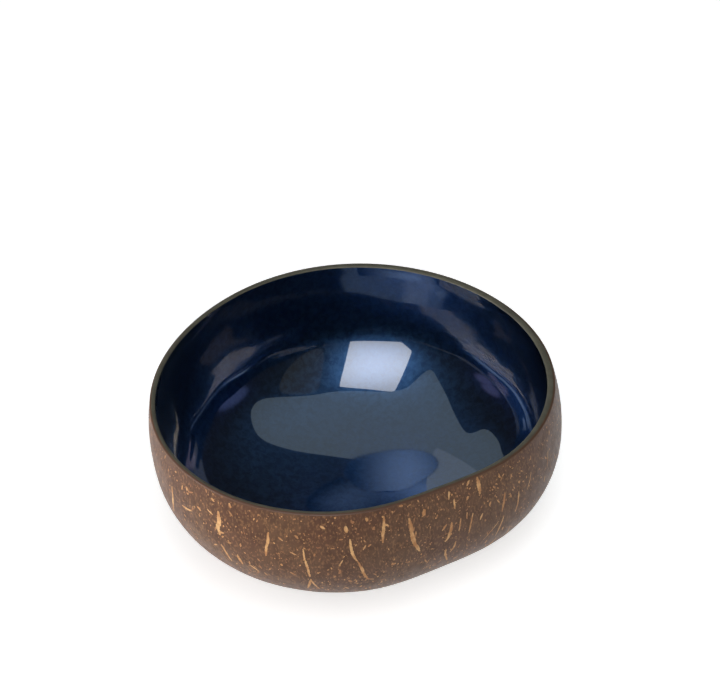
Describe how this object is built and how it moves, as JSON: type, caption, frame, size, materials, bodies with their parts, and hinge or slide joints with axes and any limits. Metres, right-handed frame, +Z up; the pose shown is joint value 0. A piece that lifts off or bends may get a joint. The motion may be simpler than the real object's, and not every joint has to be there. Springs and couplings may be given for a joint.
{
  "type": "coconut shell bowl",
  "caption": "Shallow open bowl made of half a coconut's shell, out of round, with a metallic blue lacquered inside, a dark sealed rim and a flat sanded foot.",
  "frame": {"origin": "middle of the sanded foot, on the table", "axes": "+Z up out of the bowl's mouth, +Y away from the side that the picture shows, +X to the right in the picture"},
  "size_m": [0.1289, 0.1249, 0.0559],
  "materials": {
    "shell": "sanded and waxed coconut shell with tan husk fibres, satin",
    "lacquer": "dark blue metallic lacquer, high gloss",
    "rim": "dark grey-olive edge sealer, satin"
  },
  "bodies": {
    "root": {"shell": "shell", "lacquer_lining": "lacquer", "rim_edge": "rim"}
  },
  "joints": []
}
